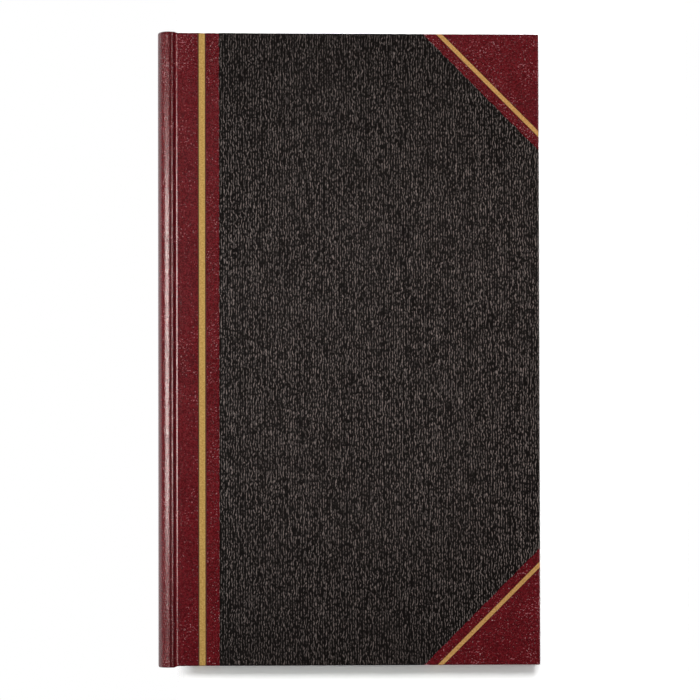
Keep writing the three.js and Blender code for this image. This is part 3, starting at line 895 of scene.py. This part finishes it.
def block_rule(cover, turned, rule, place, way, half_foil, half_line):
    """Blocks foil and the two painted shadow lines beside it on a cover, cut out of the board's wrapping."""
    way = Vector(way).normalized()
    place = Vector(place)
    work = covered_board(leather_level - press - board_level + foil_lift)
    for sign in (1, -1):
        cut(work, place + sign * half_line * way, sign * way, throw_away=True)
        cut(work, place + sign * half_foil * way, way)
    for face in work.faces:
        away = (face.calc_center_median() - place).dot(way)
        face.material_index = int(abs(away) > half_foil)
    piece = lay(work, f"{cover}_{rule}_foil", turned)
    give_thickness(piece, foil_thickness)
    piece.data.materials.append(gold_foil)
    piece.data.materials.append(channel_edge_shadow)
    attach(piece, f"{cover}_cover")
    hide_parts(f"{cover}_{rule}_rule")


for cover, turned in covers:
    block_rule(cover, turned, "spine", (rule_centre, 0, 0), (1, 0, 0), spine_foil_half, rule_half)
    for end in (1, -1):
        block_rule(cover, turned, f"{corner_name(turned, end)}_corner", corner_line(end, corner_rule_leg),
                   (1, end, 0), corner_foil_half, corner_line_half)


# Endpapers: one folded sheet at each side, a flyleaf and a pastedown. The pastedown is rubbed down
# over the mull and the turn-ins, which show through it as low steps.
endpaper_caliper = 0.1
board_surface, mull_depth = 9.08, 0.3
over_turn_ins = leather_inside - 0.07
strip_level, fold_level = 8.4, 8.6
strip_end, joint_paper = (8.6, 9.3), (9.3, 10.8)
mull_end = (36, 37.2)
tail_step, side_step = (165.2, 166.4), (202.6, 203.8)
flyleaf_level, flyleaf_rise = 8.3, 0.05
flyleaf_settles = (9, 12)
half_ends = [0, 40, 80, 120, 150, 164, 165.2, 165.6, 166, 166.4, 168, 173, half_page]
sheet_ends = [-y for y in half_ends[:0:-1]] + half_ends
sheet_stations = [6.45, 7.2, 8.0, 8.5] + paper_bend
sheet_stations += [14, 20, 28, 35, 36, 36.4, 36.8, 37.2, 40, 70, 110, 150, 185, 200]
sheet_stations += [202.6, 203, 203.4, 203.8, 206, 210, page_fore_edge]

endpaper = paper_finish("endpaper", (0.62, 0.6, 0.53, 1), (0.7, 0.68, 0.61, 1), laid)[0]


def pastedown_level(x, y):
    """The pastedown's middle: on the endpaper's fold, then on the board, the mull or the turn-ins."""
    over_board = board_surface - mull_depth * (1 - ease(x, *mull_end))
    flat = over_board + (over_turn_ins - over_board) * max(ease(y, *tail_step), ease(x, *side_step))
    return (strip_level + (fold_level - strip_level) * ease(x, *strip_end)
            + (flat - fold_level) * ease(x, *joint_paper))


def flyleaf_at(x, y):
    """The flyleaf's middle: just above the block, and a little freer past the joint."""
    return flyleaf_level + flyleaf_rise * ease(x, *flyleaf_settles)


def add_sheet(name, turned, body, level, *nodes):
    """Draws a sheet at a level that a function gives and lays it on the book; the body is not used."""
    work = bmesh.new()
    vert = work.verts.new((sheet_stations[0], sheet_ends[0], 0))
    for station in sheet_stations[1:]:
        vert = run_to(work, vert, station, 0)
    extend(work, list(work.edges), [(0, far - near, 0) for near, far in zip(sheet_ends, sheet_ends[1:])])
    for vert in work.verts:
        vert.co.z = level(vert.co.x, abs(vert.co.y))
    bmesh.ops.recalc_face_normals(work, faces=work.faces)
    piece = lay(work, name, turned, flat_above=all_smooth)
    give_thickness(piece, endpaper_caliper, 0)
    piece.data.materials.append(endpaper)
    bend_at_joint(piece)
    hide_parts(*nodes)


for cover, turned in covers:
    add_sheet(f"{cover}_pastedown_sheet", turned, f"{cover}_cover", pastedown_level, f"{cover}_pastedown")
    add_sheet(f"{cover}_flyleaf_sheet", turned, f"{cover}_flyleaf", flyleaf_at,
              f"{cover}_flyleaf", f"{cover}_endpaper_strip")


# Studio: soft boxes on the left and right that only make gloss, and one overhead and one low on
# the left that only light colour. The pale table is seen by the camera alone and keeps the book's
# shadow; it ends under the spine, below which the back cover turns. The background is white.
lamp_aim = (0, 0, 0.02)
warm, white = (1, 0.88, 0.84), (1, 1, 1)
table_middle, table_reach, table_end = 0.05, 0.148, 0.25
side_fade_from, end_fade_from = 0.138, 0.22
table_level = -0.0001
table_white = (2.4, 2.4, 2.4, 1)


def area_light(name, place, across, deep, power, shines_on="gloss"):
    """A soft box aimed at the book, that makes either gloss or colour."""
    lamp = bpy.data.lights.new(name, "AREA")
    lamp.shape = "RECTANGLE"
    lamp.size, lamp.size_y = across, deep
    lamp.energy = power
    lamp.color = warm if shines_on == "gloss" else white
    held = bpy.data.objects.new(name, lamp)
    held.location = place
    held.rotation_mode = "QUATERNION"
    held.rotation_quaternion = (Vector(lamp_aim) - Vector(place)).to_track_quat("-Z", "Y")
    held.visible_camera = False
    held.visible_glossy = shines_on == "gloss"
    held.visible_diffuse = shines_on == "colour"
    bpy.context.collection.objects.link(held)


area_light("left_softbox", (-0.8, 0.03, 0.78), across=0.27, deep=0.86, power=18.5)
area_light("right_softbox", (0.9, 0.1, 0.7), across=1.0, deep=1.0, power=6.0)
area_light("overhead_softbox", (0.0, 0.15, 0.82), across=0.36, deep=0.36, power=4.9, shines_on="colour")
area_light("low_left_fill", (-0.9, 0.03, 0.13), across=0.8, deep=0.2, power=5.5, shines_on="colour")

table_top = new_finish("table_top", 0.9, Specular_IOR_Level=0.0)[0]
on_table = step(table_top, "SeparateXYZ", {0: on_object(table_top)})
from_table_middle = away_from(table_top, on_table.outputs[0], table_middle)
side_fade = ramp(table_top, from_table_middle, side_fade_from, table_reach)
end_fade = ramp(table_top, away_from(table_top, on_table.outputs[1]), end_fade_from, table_end)
from_below = step(table_top, "NewGeometry").outputs["Backfacing"]
unseen = math_of(table_top, "SUBTRACT", 1.0, step(table_top, "LightPath").outputs["Is Camera Ray"])
see_through = math_of(table_top, "MAXIMUM", math_of(table_top, "MAXIMUM", side_fade, end_fade),
                      math_of(table_top, "MAXIMUM", from_below, unseen))
lit = step(table_top, "BsdfDiffuse", {"Color": table_white}).outputs[0]
clear = step(table_top, "BsdfTransparent").outputs[0]
faded = step(table_top, "MixShader", {0: see_through, 1: lit, 2: clear}).outputs[0]
table_top.node_tree.links.new(faded, table_top.node_tree.nodes["Material Output"].inputs["Surface"])

work = bmesh.new()
bmesh.ops.create_grid(work, x_segments=1, y_segments=1, size=0.5)
bmesh.ops.scale(work, vec=(2 * table_reach, 2 * table_end, 1), verts=work.verts)
bmesh.ops.translate(work, vec=(table_middle, 0, table_level), verts=work.verts)
table_shape = bpy.data.meshes.new("table")
work.to_mesh(table_shape)
work.free()
table_shape.materials.append(table_top)
table = bpy.data.objects.new("table", table_shape)
bpy.context.collection.objects.link(table)

world = bpy.data.worlds.new("studio")
bpy.context.scene.world = world
world.use_nodes = True
sky = world.node_tree.nodes["Background"]
sky.inputs["Color"].default_value = (1, 1, 1, 1)
ray = step(world, "LightPath")
way_up = along(world, step(world, "TexCoord").outputs["Generated"], 2)
ambient = ramp(world, way_up, 0.0, 0.9, 0.32, 0.16)
dim_ceiling = ramp(world, way_up, 0.8, 0.96, 1.0, 0.3)
backdrop = math_of(world, "MULTIPLY", ramp(world, way_up, -0.8, -0.5, 0.65, 0.12), dim_ceiling)
mirrored = math_of(world, "MAXIMUM", ray.outputs["Is Glossy Ray"], ray.outputs["Is Transmission Ray"])
lighting = step(world, "Mix", {0: mirrored, 2: ambient, 3: backdrop}).outputs[0]
strength = step(world, "Mix", {0: ray.outputs["Is Camera Ray"], 2: lighting, 3: 1.0}).outputs[0]
world.node_tree.links.new(strength, sky.inputs["Strength"])


# Camera: straight above the cover, far off, its lower end a touch nearer, as the photograph shows.
# It looks at the middle of the front cover.
camera_tilt, camera_turn, camera_roll = math.radians(1.87), math.radians(4.3), math.radians(-0.12)
camera_distance = 3.2
cover_middle = Vector((-0.0001, -0.0001, 0.0241))
looks_along = Vector((math.cos(camera_tilt) * math.sin(camera_turn), math.sin(camera_tilt),
                      -math.cos(camera_tilt) * math.cos(camera_turn)))
camera_data = bpy.data.cameras.new("camera")
camera_data.lens = 287.5
camera = bpy.data.objects.new("camera", camera_data)
camera.location = cover_middle - camera_distance * looks_along
camera.rotation_euler = (camera_tilt, -camera_turn, camera_roll)
bpy.context.collection.objects.link(camera)
bpy.context.scene.camera = camera
